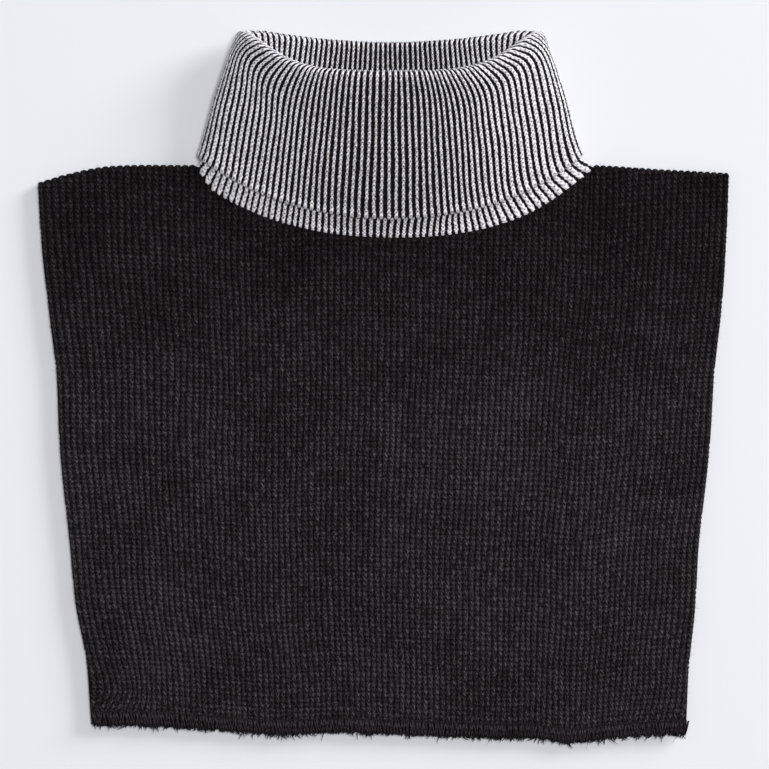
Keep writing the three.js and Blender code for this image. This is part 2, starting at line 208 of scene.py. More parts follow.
def stand_frame(share, along):
    """The stand's point, and the directions across its ribs, up it and out of it."""
    across = unit(stand_point(share + 0.001, along) - stand_point(share - 0.001, along))
    up = unit(stand_point(share, np.minimum(along + 0.02, 1))
              - stand_point(share, np.maximum(along - 0.02, 0)))
    return stand_point(share, along), across, up, unit(np.cross(across, up))


print("front of the rim, in the middle:", np.round(stand_point(np.array(0.25), np.array(1.0)), 1))

# %% [markdown]
# ## The relief of rib knit
#
# In 1x1 rib every other column of stitches, a wale, stands forward, and the ones between fall
# back and stand forward on the other side. A stitch is fullest at its middle and sinks where the
# next loop comes through it. Wale and course, the row of stitches, number every place on the
# knit. The same two numbers shape the mesh here and steer the colours later.

# %% Height of the knit at a wale and a course
rib_depth = 1.1
rib_fullness = 0.8
groove_depth, groove_width = 0.16, 0.24  # between the two legs of each stitch


def knit_height(wale, course, bead=0.16):
    """1 on the crest of a rib and 0 in the valley beside it; whole wales are crests."""
    side = 2 * np.abs(wale - np.round(wale))
    beat = np.cos(2 * pi * course)
    rib = np.cos(pi / 2 * side) ** rib_fullness
    groove = groove_depth * np.exp(-(side / groove_width) ** 2) * (1 - 0.4 * beat)
    return np.clip(rib * (1 + bead * (beat - 1) / 2) - groove, 0, 1)


def wander(wale, course, amount):
    """Ribs never run quite straight: a slow drift sideways, in wales."""
    return amount * (np.sin(0.31 * wale + 0.12 * course) * np.sin(0.17 * course + 1.3)
                     + 0.6 * np.sin(0.83 * wale - 0.21 * course + 2.1)
                     + 0.4 * np.sin(2.3 * wale + 0.43 * course + 0.4))


beside_crest = knit_height(np.array([0, 0.25, 0.5]), np.zeros(3))
print("height beside the crest:", np.round(beside_crest, 2))

# %% [markdown]
# ## Gathering grids into a mesh
#
# Each piece is made of grids of points: the outside with many columns for the ribs, the hidden
# inside with few. A strip of triangles zips two borders that have different numbers of points.
# Blender could remesh all this, but a remesh loses the numbering of the stitches.


# %% A helper that gathers grids and strips
class Knitting:
    """Points and faces of one piece. Each face's corners know their wale, course and stripe."""
    def __init__(self):
        self.points, self.faces, self.count = [], [], 0

    def add(self, points):
        ids = np.arange(self.count, self.count + points[..., 0].size).reshape(points.shape[:-1])
        self.points.append(points.reshape(-1, 3))
        self.count += ids.size
        return ids

    def grid(self, points, wale, course, chart, stripe=0.0, around=0, loop=False):
        """Faces between rows and columns. around closes each row after that many wales, and loop
        joins the last row to the first. chart is the grid's place on the flat map."""
        ids = self.add(points)
        rows, columns = ids.shape
        marks = np.stack(np.broadcast_arrays(wale, course, stripe, 0, 0 * ids), -1).astype(float)
        if around:
            ids = np.concatenate([ids, ids[:, :1]], 1)
            marks = np.concatenate([marks, marks[:, :1] + np.array([around, 0, 0, 0, 0])], 1)
        if loop:
            ids, marks = np.concatenate([ids, ids[:1]]), np.concatenate([marks, marks[:1]])
        left, bottom, right, top = chart
        marks[..., 3] = np.linspace(left, right, ids.shape[1])[None, :]
        marks[..., 4] = np.linspace(bottom, top, ids.shape[0])[:, None]
        corners = [(slice(None, -1), slice(None, -1)), (slice(None, -1), slice(1, None)),
                   (slice(1, None), slice(1, None)), (slice(1, None), slice(None, -1))]
        self.faces.append((np.stack([ids[c] for c in corners], -1).reshape(-1, 4),
                           np.stack([marks[c] for c in corners], -2).reshape(-1, 4, 5)))
        return ids[:rows, :columns]

    def zip(self, one, two, mark):
        """Triangles between two runs of points that start and end together."""
        i = j = 0
        triangles = []
        while i < len(one) - 1 or j < len(two) - 1:
            one_is_next = (i + 1) * (len(two) - 1) <= (j + 1) * (len(one) - 1)
            if j == len(two) - 1 or i < len(one) - 1 and one_is_next:
                triangles.append((one[i], one[i + 1], two[j]))
                i += 1
            else:
                triangles.append((one[i], two[j + 1], two[j]))
                j += 1
        marks = np.tile(np.array([*mark, 0.0, 0.99, 0.99]), (len(triangles), 3, 1))
        marks[:, :, 3:] += 0.005 * np.array([[0, 0], [1, 0], [0, 1]])
        self.faces.append((np.array(triangles), marks))

    def piece(self, name, material, slot):
        """The finished object, in metres and in its place in the frame."""
        mesh = bpy.data.meshes.new(name)
        points = (np.concatenate(self.points) + to_frame) * 0.001
        points[:, 2] = np.maximum(points[:, 2], 0)
        sizes = np.concatenate([np.full(len(ids), ids.shape[1]) for ids, _ in self.faces])
        loops = np.concatenate([ids.ravel() for ids, _ in self.faces])
        marks = np.concatenate([m.reshape(-1, 5) for _, m in self.faces])
        mesh.vertices.add(len(points))
        mesh.vertices.foreach_set("co", points.astype(np.float32).ravel())
        mesh.loops.add(len(loops))
        mesh.loops.foreach_set("vertex_index", loops.astype(np.int32))
        mesh.polygons.add(len(sizes))
        starts = np.concatenate([[0], np.cumsum(sizes)[:-1]])
        mesh.polygons.foreach_set("loop_start", starts.astype(np.int32))
        mesh.update(calc_edges=True)
        for map_name, columns in (("OFBake", slice(3, 5)), ("stitches", slice(0, 2))):
            layer = mesh.uv_layers.new(name=map_name)
            layer.uv.foreach_set("vector", marks[:, columns].astype(np.float32).ravel())
        stripe = mesh.attributes.new("stripe", "FLOAT", "CORNER")
        stripe.data.foreach_set("value", marks[:, 2].astype(np.float32))
        mesh.validate()
        shell = bmesh.new()
        shell.from_mesh(mesh)
        bmesh.ops.recalc_face_normals(shell, faces=shell.faces)
        shell.to_mesh(mesh)
        shell.free()
        mesh.polygons.foreach_set("use_smooth", np.ones(len(mesh.polygons), bool))
        thing = bpy.data.objects.new(name, mesh)
        bpy.context.scene.collection.objects.link(thing)
        mesh.materials.append(material)
        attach(thing, "root")
        triangles = int((sizes - 2).sum())
        print(f"{name}: {triangles} triangles")
        return thing


# The frame's origin is under the middle of the outline, the drawing's at the shoulder fold.
low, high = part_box("bib")
to_frame = np.array([0.15, 114.146, 0.0])
print("the drawing moves into the frame by", to_frame, "mm; the bib's box is", low, high)

# %% [markdown]
# ## Camera, light and floor
#
# The photograph looks straight down on the dickey. A camera far away with a narrow view keeps
# the collar, which stands up a little, from growing much. One big soft light low on the upper
# right gives the long pale shadows on the left and below. A small lamp high overhead, behind
# the camera, and a dim sky fill them.

# %% Camera
view_height, view_width = 2.4, 0.3999
sensor_width = 36
camera_data = bpy.data.cameras.new("camera")
camera_data.sensor_width = sensor_width
camera_data.lens = sensor_width * view_height / view_width
camera_data.clip_end = 20
camera = bpy.data.objects.new("camera", camera_data)
camera.location = (0.0007, 0, view_height)
bpy.context.scene.collection.objects.link(camera)
bpy.context.scene.camera = camera
print("lens:", round(camera_data.lens), "mm")


# %% Lights and the pale floor
def soft_light(name, place, size, power):
    """A round soft light that aims at the middle of the dickey."""
    data = bpy.data.lights.new(name, "AREA")
    data.shape, data.size, data.energy = "DISK", size, power
    lamp = bpy.data.objects.new(name, data)
    lamp.location = place
    x, y, z = place
    lamp.rotation_euler = (float(np.arccos(z / np.linalg.norm(place))), 0,
                           float(np.arctan2(y, x) + pi / 2))
    bpy.context.scene.collection.objects.link(lamp)


soft_light("key", place=(4.1, 2.45, 2.1), size=2.5, power=205)
soft_light("overhead", place=(0.3, 0.25, 3.2), size=0.7, power=60)
sky = bpy.data.worlds.new("sky")
sky.use_nodes = True
sky_light = sky.node_tree.nodes["Background"].inputs
sky_light["Color"].default_value = (0.93, 0.95, 1, 1)
sky_light["Strength"].default_value = 0.22
bpy.context.scene.world = sky
bpy.context.scene.view_settings.view_transform = "Standard"

bpy.ops.mesh.primitive_plane_add(size=6, location=(0, 0, -0.0004))
floor = bpy.context.object
floor.name = "floor"

# %% [markdown]
# ## Yarn and stitches as node groups
#
# All three finishes are the same soft yarn, so two node groups serve them all. The first draws
# the two legs of every stitch from the wale and the course in the UV map. It could be a picture
# of knitting, but numbers stay sharp at any size. The second is the fluff of the fibres.


# %% Helpers for node trees
def link(tree, socket, value):
    if isinstance(value, bpy.types.NodeSocket):
        tree.links.new(value, socket)
    else:
        socket.default_value = value


def node(tree, kind, settings=None, **inputs):
    made = tree.nodes.new("ShaderNode" + kind)
    for key, value in (settings or {}).items():
        setattr(made, key, value)
    for key, value in inputs.items():
        link(tree, made.inputs[key.replace("_", " ")], value)
    return made


def maths(tree, operation, *values, clamp=False):
    made = tree.nodes.new("ShaderNodeMath")
    made.operation, made.use_clamp = operation, clamp
    for socket, value in zip(made.inputs, values):
        link(tree, socket, value)
    return made.outputs[0]


def vectors(tree, operation, first, second):
    made = node(tree, "VectorMath", {"operation": operation})
    link(tree, made.inputs[0], first)
    link(tree, made.inputs["Scale" if operation == "SCALE" else 1], second)
    return made.outputs[0]


def ease(tree, value, start, end, low=0.0, high=1.0):
    made = node(tree, "MapRange", {"interpolation_type": "SMOOTHSTEP"}, Value=value,
                From_Min=start, From_Max=end, To_Min=low, To_Max=high)
    return made.outputs["Result"]


def node_group(name, inputs, outputs):
    tree = bpy.data.node_groups.new(name, "ShaderNodeTree")
    for socket_name, kind, value in inputs:
        socket = tree.interface.new_socket(
            socket_name, in_out="INPUT", socket_type="NodeSocket" + kind)
        if value is not None:
            socket.default_value = value
    for socket_name, kind in outputs:
        tree.interface.new_socket(
            socket_name, in_out="OUTPUT", socket_type="NodeSocket" + kind)
    given = tree.nodes.new("NodeGroupInput").outputs
    return tree, given, tree.nodes.new("NodeGroupOutput").inputs


def use_group(tree, group, **inputs):
    made = tree.nodes.new("ShaderNodeGroup")
    made.node_tree = group
    for key, value in inputs.items():
        link(tree, made.inputs[key.replace("_", " ")], value)
    return made.outputs


print("node helpers are ready")

# %% The stitches of rib knit
stitches, given, result = node_group(
    "rib stitches",
    [("Place", "Vector", None), ("Leg Width", "Float", 0.3), ("Uneven", "Float", 0.18)],
    [(title, "Float") for title in ("Height", "Side", "Within", "Hole", "Gap", "Random")])
flat_noise = {"noise_dimensions": "2D"}
do = partial(maths, stitches)
unevenness = node(stitches, "TexNoise", flat_noise, Vector=given["Place"], Scale=0.9, Detail=2.0)
shift = vectors(stitches, "SUBTRACT", unevenness.outputs["Color"], (0.5, 0.5, 0.5))
shift = vectors(stitches, "SCALE", shift, given["Uneven"])
place = vectors(stitches, "ADD", given["Place"], shift)
place = node(stitches, "SeparateXYZ", Vector=place).outputs
signed = do("SUBTRACT", do("FRACT", do("ADD", place["X"], 0.5)), 0.5)
side = do("MULTIPLY", do("ABSOLUTE", signed), 2.0)
within = do("FRACT", place["Y"])
beat = do("COSINE", do("MULTIPLY", place["Y"], 2 * pi))
whole = node(stitches, "CombineXYZ", X=do("ROUND", place["X"]), Y=do("FLOOR", place["Y"]))
chance = node(stitches, "TexWhiteNoise", flat_noise, Vector=whole.outputs[0]).outputs["Value"]
tuck = do("MULTIPLY_ADD", do("SINE", do("MULTIPLY", within, pi)), 0.6, 0.4)
bar = do("MULTIPLY", do("MULTIPLY_ADD", beat, -0.15, 0.15), ease(stitches, side, 0.6, 0.9))
leg_play = 0.5  # how far apart the same leg may stand in two stitches


def leg(slope, start, width, strength):
    """One leg of the stitch: a round strand that leans as it goes up its course."""
    middle = do("ADD", do("MULTIPLY_ADD", within, slope, start - leg_play / 2),
                do("MULTIPLY", chance, leg_play))
    off = do("DIVIDE", do("SUBTRACT", do("MULTIPLY", signed, 2.0), middle), width)
    inside = do("SUBTRACT", 1.0, do("MULTIPLY", off, off), clamp=True)
    return do("MULTIPLY", do("MULTIPLY", do("SQRT", inside), tuck), strength)


upper_leg = leg(slope=-0.8, start=0.28, width=given["Leg Width"], strength=1.0)
lower_leg = leg(slope=0.45, start=0.15, width=0.3, strength=0.55)
strand = do("MAXIMUM", upper_leg, lower_leg)
hole_beat = do("MULTIPLY", ease(stitches, within, 0.5, 0.7), ease(stitches, within, 1.0, 0.85))
gap_beat = do("MULTIPLY_ADD", beat, 0.35, 0.65)
for title, value in {
    "Random": chance, "Height": do("MAXIMUM", strand, bar), "Side": side, "Within": within,
    "Hole": do("MULTIPLY", ease(stitches, side, 0.36, 0.12), hole_beat),
    "Gap": do("MULTIPLY", ease(stitches, side, 0.5, 0.8), gap_beat),
}.items():
    link(stitches, result[title], value)
print("stitch group gives", [socket.name for socket in result if socket.name])

# %% The fluff of the yarn
fluff, given, result = node_group(
    "yarn fluff", [("Place", "Vector", None), ("Scale", "Float", 560.0)],
    [("Shade", "Float"), ("Height", "Float")])
fine_share, broad_scale = 0.85, 0.02
fine = node(fluff, "TexNoise", Vector=given["Place"], Scale=given["Scale"], Detail=4.0, Roughness=0.65)
broad = node(fluff, "TexNoise", Vector=given["Place"],
             Scale=maths(fluff, "MULTIPLY", given["Scale"], broad_scale), Detail=3.0)
link(fluff, result["Shade"], maths(fluff, "MULTIPLY_ADD", fine.outputs["Fac"], fine_share,
                                   maths(fluff, "MULTIPLY", broad.outputs["Fac"], 1 - fine_share)))
link(fluff, result["Height"], fine.outputs["Fac"])
print("fluff group gives", [socket.name for socket in result if socket.name])

# %% [markdown]
# ## The finishes
#
# Black acrylic yarn scatters a faint grey at its fibres' edges, which is what sheen is for. The
# collar is plated: white yarn on the ribs, black yarn in the valleys, and both look furry.
# The colours could be painted on the mesh, but a mask from the stitches follows every loop.

# %% Black rib knit, striped rib knit and overlock thread
black_deep, black_yarn = (0.0010, 0.0007, 0.0009, 1), (0.104, 0.086, 0.097, 1)
white_deep, white_yarn = (0.26, 0.248, 0.30, 1), (0.98, 0.955, 1.0, 1)
lint = {"scale": 28.0, "edge": 0.018, "core": 0.008, "rare": 0.7, "light": 1.6}


def mix(tree, share, low, high):
    made = node(tree, "Mix", {"data_type": "RGBA"})
    link(tree, made.inputs["Factor"], share)
    link(tree, made.inputs[6], low)
    link(tree, made.inputs[7], high)
    return made.outputs[2]


def knit_material(name, sheen, shine, stitch_depth, striped=False, leg_width=0.3, fluff_scale=560,
                  uneven=0.18, lightness=1.0):
    material = bpy.data.materials.new(name)
    material.use_nodes = True
    tree = material.node_tree
    shader = tree.nodes["Principled BSDF"]
    do, fade = partial(maths, tree), partial(ease, tree)
    coordinates = node(tree, "UVMap", {"uv_map": "stitches"}).outputs["UV"]
    knit = use_group(tree, stitches, Place=coordinates, Leg_Width=leg_width, Uneven=uneven)
    place = node(tree, "TexCoord").outputs["Object"]
    yarn = use_group(tree, fluff, Place=place, Scale=fluff_scale)
    # Light on the yarn: stronger on round strands, weaker between ribs and near the collar.
    light = do("MULTIPLY_ADD", do("POWER", knit["Height"], 1.2), 0.68, 0.25)
    for share in (fade(yarn["Shade"], 0.4, 0.6, 0.15, lightness),
                  do("MULTIPLY_ADD", knit["Random"], 0.7, 0.6),
                  do("MULTIPLY_ADD", knit["Gap"], -0.85, 1.0),
                  fade(node(tree, "SeparateXYZ", Vector=place).outputs["Y"], 0.12, -0.06, 0.42, 1.0)):
        light = do("MULTIPLY", light, share)
    # Lint: a pale speck in the middle of a few cells.
    cells = node(tree, "TexVoronoi", Vector=place, Scale=lint["scale"])
    lucky = node(tree, "SeparateColor", Color=cells.outputs["Color"]).outputs["Red"]
    speck = do("MULTIPLY", fade(cells.outputs["Distance"], lint["edge"], lint["core"]),
               fade(lucky, lint["rare"], lint["rare"] + 0.02))
    colour = mix(tree, do("MULTIPLY_ADD", speck, lint["light"], light), black_deep, black_yarn)
    if striped:
        # White where a place is nearer to its rib's middle than the plated stripe is wide.
        width = node(tree, "Attribute", {"attribute_name": "stripe"}).outputs["Fac"]
        edge = do("ADD", do("MULTIPLY_ADD", knit["Within"], 0.2, do("SUBTRACT", width, 0.1)),
                  do("MULTIPLY_ADD", yarn["Height"], 0.36, -0.18))
        plated = fade(do("SUBTRACT", knit["Side"], edge), 0.07, -0.07)
        hole = do("MULTIPLY", knit["Hole"], do("MULTIPLY_ADD", knit["Random"], 0.7, 0.25))
        white = do("MULTIPLY", plated, do("SUBTRACT", 1.0, hole))
        # Painted light on the white yarn: lighter on round strands and darker between them, with the
        # fluff's own tone.
        bright = do("MULTIPLY", fade(yarn["Shade"], 0.3, 0.6, 0.4, 1.0),
                    do("MULTIPLY_ADD", knit["Height"], 0.6, 0.4))
        # Painted light and shade: the white is lighter where its stripe is wider, at the collar's sides,
        # along the rim and on the stand's foot, and darker in the middle.
        bright = do("MULTIPLY", bright, fade(width, 0.32, 0.52, 0.85, 1.35))
        colour = mix(tree, white, colour, mix(tree, bright, white_deep, white_yarn))
    link(tree, shader.inputs["Base Color"], colour)
    link(tree, shader.inputs["Roughness"], fade(yarn["Shade"], 0.2, 0.8, 0.97, 0.8))
    shader.inputs["Specular IOR Level"].default_value = shine
    shader.inputs["Sheen Weight"].default_value = sheen
    shader.inputs["Sheen Roughness"].default_value = 0.45
    relief = node(tree, "Bump", Strength=1.0, Distance=stitch_depth, Height=knit["Height"])
    fibres = node(tree, "Bump", Strength=0.6, Distance=0.00025, Height=yarn["Height"],
                  Normal=relief.outputs["Normal"])
    link(tree, shader.inputs["Normal"], fibres.outputs["Normal"])
    return material


black_knit = knit_material("black rib knit", sheen=0.02, shine=0.05, stitch_depth=0.0008,
                           leg_width=0.32, fluff_scale=1150, uneven=0.36)
striped_knit = knit_material("striped rib knit", sheen=0.08, shine=0.15, stitch_depth=0.00022,
                             striped=True, leg_width=0.4)
black_thread = knit_material("overlock thread", sheen=0.02, shine=0.05, stitch_depth=0.0002,
                             leg_width=0.6, fluff_scale=1000, lightness=0.5)

floor_material = bpy.data.materials.new("pale floor")
floor_material.use_nodes = True
floor_shader = floor_material.node_tree.nodes["Principled BSDF"]
floor_shader.inputs["Base Color"].default_value = (0.80, 0.81, 0.845, 1)
floor_shader.inputs["Roughness"].default_value = 0.9
floor_shader.inputs["Specular IOR Level"].default_value = 0.1
floor.data.materials.append(floor_material)
print("finishes:", [m.name for m in bpy.data.materials])

# %% [markdown]
# ## The collar
#
# Two tubes that share one cut, just inside the rim: the stand, and the cuff that starts at the
# rim and hangs outside it. They could be one mesh, but the ribs need so many points that two
# pieces stay easier to handle. A rib that is folded over a sloping rim comes back down at twice
# the slope, as a folded paper stripe does, and then hangs straight, so the ribs are shifted
# sideways near the rim. The turned cuff is wider than the stand, so its ribs are shared out anew.


# %% Where a rib runs, and the collar's grid
left_bend, right_bend = 2.8, 3.5  # in wales, at the rim's two corners
left_fade, right_fade = (2.6, 12), (1.5, 10)  # how soon it fades from them, in front and behind
bend_place, bend_reach, roll_length = 0.04, 0.105, 0.08
creases = {"wale": [8, 52], "below": [0.23, 0.22], "slant": [0.012, -0.01], "push": [-0.5, 0.25],
           "across": [7, 8], "reach": [0.12, 0.1]}
crease_depth = 0.7
seam_slide, slide_place, slide_reach = 1.6, 39, 11  # the foot was sewn on a little askew
collar_courses = 36
# How wide the white of a rib is: outside, more at the sides, inside, and on the stand's foot.
# The white is narrower in the middle of the collar, partly the plating's own spread and partly painted
# shade.
white_width, side_width_and_shade, inside_width, band_width = 0.44, 0.09, 0.43, 0.53
bulb_width, bulb_place, bulb_reach = 0.1, 0.022, 0.015  # the knit swells beside its edge
# Wider white along the rim's crest: a painted highlight.
crest_highlight_width, crest_place, crest_reach = 0.1, 0.05, 0.05
cuff_lift, cuff_drop = 0.04, 0.016


def past_rim(along, turn):
    """How far the knit has gone over the rim, in shares of the collar's height."""
    return np.where(turn == 0, along - 1, roll_length * turn + 1 - along)


def crease(wale, beyond, column):
    """The soft creases where the turned cuff gives way: their push in wales, or their depth."""
    total = 0
    for place, below, slant, push, across, reach in zip(*creases.values()):
        down = (beyond - below - slant * (wale - place)) / reach
        near = np.exp(-down**2 - ((wale - place) / across) ** 2)
        total = total + (push if column == "push" else 1) * near
    return total


def collar_share(wale, along, turn):
    """The share round the tube where a wale lies at this height and turn."""
    beyond_rim = past_rim(along, turn)
    near_rim = np.exp(-(np.abs(beyond_rim - bend_place) / bend_reach) ** 1.5)
    lean, in_front = np.cos(pi * wale / neck_ribs), wale < neck_ribs
    bend = np.where(lean > 0, left_bend * np.abs(lean) ** np.where(in_front, *left_fade),
                    -right_bend * np.abs(lean) ** np.where(in_front, *right_fade))
    near_neck = np.clip(1 - along / cuff_start, 0, 1) * (turn == 0)
    slide = seam_slide * np.exp(-((wale - slide_place) / slide_reach) ** 2) * near_neck
    spread = read_table(rib_spread, "shift", np.minimum(wale, neck_ribs))
    drift = wander(wale, along * collar_courses, 0.06) + spread
    pushed = crease(wale, beyond_rim, "push")
    return (wale + drift + bend * near_rim - slide + pushed) / collar_ribs % 1


def share_on_stand(share, along, wider):
    """The stand's share that lies under a share of a ring that is wider all round."""
    half_width, end = ring_ends(along)
    straight, quarter, outer = 2 * (half_width - end), pi / 2 * end, pi / 2 * (end + wider)
    back = share > 0.5
    whole = straight + 2 * outer
    way = 2 * np.where(back, 1 - share, share) * whole
    from_end = np.minimum(way, whole - way)
    from_end = np.where(from_end < outer, from_end * quarter / outer, from_end - outer + quarter)
    way = np.where(way < whole / 2, from_end, straight + 2 * quarter - from_end)
    half_share = way / (straight + 2 * quarter) / 2
    return np.where(back, 1 - half_share, half_share)


def collar_point(wale, along, turn, offset):
    """A point beside the sheet: offset is measured along the sheet's own outward normal."""
    roll = layer_step / 2
    angle = pi * turn
    share = share_on_stand(collar_share(wale, along, turn), along, roll * (1 - np.cos(angle)))
    point, _, up, out = stand_frame(share, along)
    normal = out * np.cos(angle)[..., None] - up * np.sin(angle)[..., None]
    dent = crease_depth * crease(wale, past_rim(along, turn), "depth")
    return point + out * (roll - dent[..., None]) + normal * (offset[..., None] - roll), up


def rib_offset(wale, course, neck_side):
    """How far one face stands from the middle of the knit. The faces' ribs alternate."""
    height = knit_height(wale + np.where(neck_side, 0.5, 0), course, 0.05)
    reach = knit_wall / 2 - rib_depth * (1 - height)
    return np.where(neck_side, -reach, reach)


def ramp(start, end, count):
    return np.linspace(start, end, count + 1)[:-1]


front_columns, back_columns = 6, 4  # for each rib
wales = np.concatenate([ramp(0, neck_ribs, neck_ribs * front_columns),
                        ramp(neck_ribs, collar_ribs, neck_ribs * back_columns)])
cut_at = 0.96
roll_courses = 3
print("columns round the collar:", len(wales))


# %% The cuff: inside the rim, over it, down outside and back up under itself
def collar_tube(rows, seen_side, seen_stripe, hidden_stripe):
    """A closed tube of knit from rows of (along, turn, neck side, edge share)."""
    along, turn, neck_side, edge = [np.repeat(np.array(column, float)[:, None], len(wales), 1)
                                    for column in zip(*rows)]
    neck_side = neck_side > 0.5
    course = collar_courses * np.where(turn > 0, 2 - along, along) + roll_courses * turn
    wale = np.repeat(wales[None, :], len(rows), 0)
    first_row = along[edge > 0].min()
    near_edge = np.exp(-((np.abs(along - first_row) - bulb_place) / bulb_reach) ** 2) - edge
    lift = cuff_lift * np.sin(pi * wale / neck_ribs) ** 2 - cuff_drop
    along = along + (turn == 1) * lift * (1 - along) / (1 - cuff_start)
    near, up = collar_point(wale, along, turn, rib_offset(wale, course, neck_side))
    far, _ = collar_point(wale, along, turn, rib_offset(wale, course, ~neck_side))
    bulge = 0.5 + knit_height(wale + 0.5 * seen_side, course, 0)
    middle = (near + far) / 2
    rounded = (middle + (near - middle) * np.cos(pi / 2 * edge)[..., None]
               - up * (bulge * np.sin(pi / 2 * edge))[..., None])
    shown = np.where(edge > 0, seen_side, neck_side)
    # The stripe sets the white's width and, in the finish, its lightness. The extra white along the crest
    # is painted highlight, the narrower white in the middle is painted shade, and the bulbs beside the
    # edge are the knit's own swell.
    crest = crest_highlight_width * np.exp(-((past_rim(along, turn) - crest_place) / crest_reach) ** 2)
    stripe = (np.where(shown == seen_side, seen_stripe, hidden_stripe) + crest
              + side_width_and_shade * np.cos(2 * pi * wale / neck_ribs) + bulb_width * near_edge)
    points = np.where(edge[..., None] > 0, rounded, near)
    knitting = Knitting()
    knitting.grid(points, wale + 0.5 * shown, course, (0.01, 0.01, 0.97, 0.97), stripe,
                  around=collar_ribs, loop=True)
    return knitting


def course_rows(start, end, per_course):
    return ramp(start, end, max(1, round(abs(end - start) * collar_courses * per_course)))


cuff_rows = (
    [(a, 0, 1, 0) for a in course_rows(cut_at, 1, 2)]
    + [(1, t, 1, 0) for t in ramp(0, 1, 10)]
    + [(a, 1, 1, 0) for a in course_rows(1, cuff_start, 4)]
    + [(cuff_start, 1, 1, e) for e in (0.0, 0.4, 0.75)]
    + [(cuff_start, 1, 0, e) for e in (1.0, 0.75, 0.4)]
    + [(a, 1, 0, 0) for a in ramp(cuff_start, 1, 7)]
    + [(1, t, 0, 0) for t in ramp(1, 0, 4)]
    + [(a, 0, 0, 0) for a in (1, cut_at)]
)
cuff = collar_tube(cuff_rows, 1, white_width, white_width)
cuff = cuff.piece("collar_cuff", striped_knit, "striped_knit")
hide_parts("collar")

# %% The stand: up the outside from the neckline, and down the inside
seen_outside, seen_inside = 0.22, 0.55  # the cuff and the dark hide the rest
stand_rows = (
    [(0, 0, 0, e) for e in (0.75, 0.4)]
    + [(a, 0, 0, 0) for a in course_rows(0, seen_outside, 4)]
    + [(a, 0, 0, 0) for a in ramp(seen_outside, cut_at, 8)]
    + [(cut_at, 0, 0, 0)]
    + [(a, 0, 1, 0) for a in course_rows(cut_at, seen_inside, 3)]
    + [(a, 0, 1, 0) for a in ramp(seen_inside, 0, 10)]
    + [(0, 0, 1, e) for e in (0.0, 0.4, 0.75, 1.0)]
)
stand = collar_tube(stand_rows, 0, band_width, inside_width)
stand = stand.piece("collar_stand", striped_knit, "striped_knit")
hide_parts("collar")

# %% [markdown]
# ## The bib
#
# One piece of knit folded over at the shoulders: its ribs run down the front and, underneath,
# down the back. It could be a simulated cloth, but it lies flat, so its edges, its soft swells
# and the way it rises to the neckline are drawn. Rows of points keep step with the rows
# of stitches, two to a course, or the stitches would beat against the mesh and show stripes.


# %% Edges of the bib
def side_edge(side, down, inset):
    """The side edge at a share of the length: side is -1 on the left and 1 on the right."""
    straight = lerp(side * shoulder_width / 2, hem_shift + side * hem_width / 2, down)
    wave = read_table(side_lines, "left" if side < 0 else "right", down)
    return straight + side * (edge_bow * wave - inset)


def column_top(rib, face):
    """Where a rib of the bib starts, at the shoulder fold or the neckline, and the way out."""
    neck = np.clip((rib - left_ribs) / neck_ribs, 0, 1)
    share = neck / 2 if face == "front" else 1 - neck / 2
    point, across, _, out = stand_frame(share, np.zeros_like(rib))
    away = np.cross(across, out) * np.array([1, 1, 0])
    left, right = side_edge(-1, 0, 0), side_edge(1, 0, 0)
    neck_left = neck_shift - neck_width / 2 + knit_wall / 2
    neck_right = neck_shift + neck_width / 2 - knit_wall / 2
    x = np.where(rib < left_ribs, lerp(left, neck_left, rib / left_ribs),
                 lerp(right, neck_right, (bib_ribs - rib) / right_ribs))
    drop = shoulder_drop * read_table(shoulder_line, "drop", (x - left) / (right - left))
    shoulder = np.stack([x, -knit_wall / 2 - drop, np.full_like(x, fold_height)], -1)
    slope = np.gradient(shoulder[:, 1], x)
    crest = unit(np.stack([-slope, np.ones_like(x), np.zeros_like(x)], -1))
    at_neck = (rib >= left_ribs) & (rib <= left_ribs + neck_ribs)
    return (np.where(at_neck[:, None], point + unit(away) * neck_gap, shoulder),
            np.where(at_neck[:, None], out, crest), at_neck)


neckline = column_top(np.array([20.0, 53.0, 60.0]), "front")[0]
print("neckline in the middle:", np.round(neckline[1], 1))

# %% The middle of a panel's knit
selvedge, bib_course = 1.2, 2.6
still_ribs, still_length = 3, 30  # ribs don't wander beside the sides and below the top


def swell_at(across, down):
    edge = np.sin(pi * np.clip(across, 0, 1)) * np.sin(pi * np.clip(down, 0, 1))
    total = 0
    for place, below, spread, height in zip(*swells.values()):
        away = np.hypot(across - place, (down - below) * panel_length["front"] / shoulder_width)
        total = total + height * np.exp(-(away / spread) ** 2)
    return swell_height * total * np.minimum(1, 4 * edge)


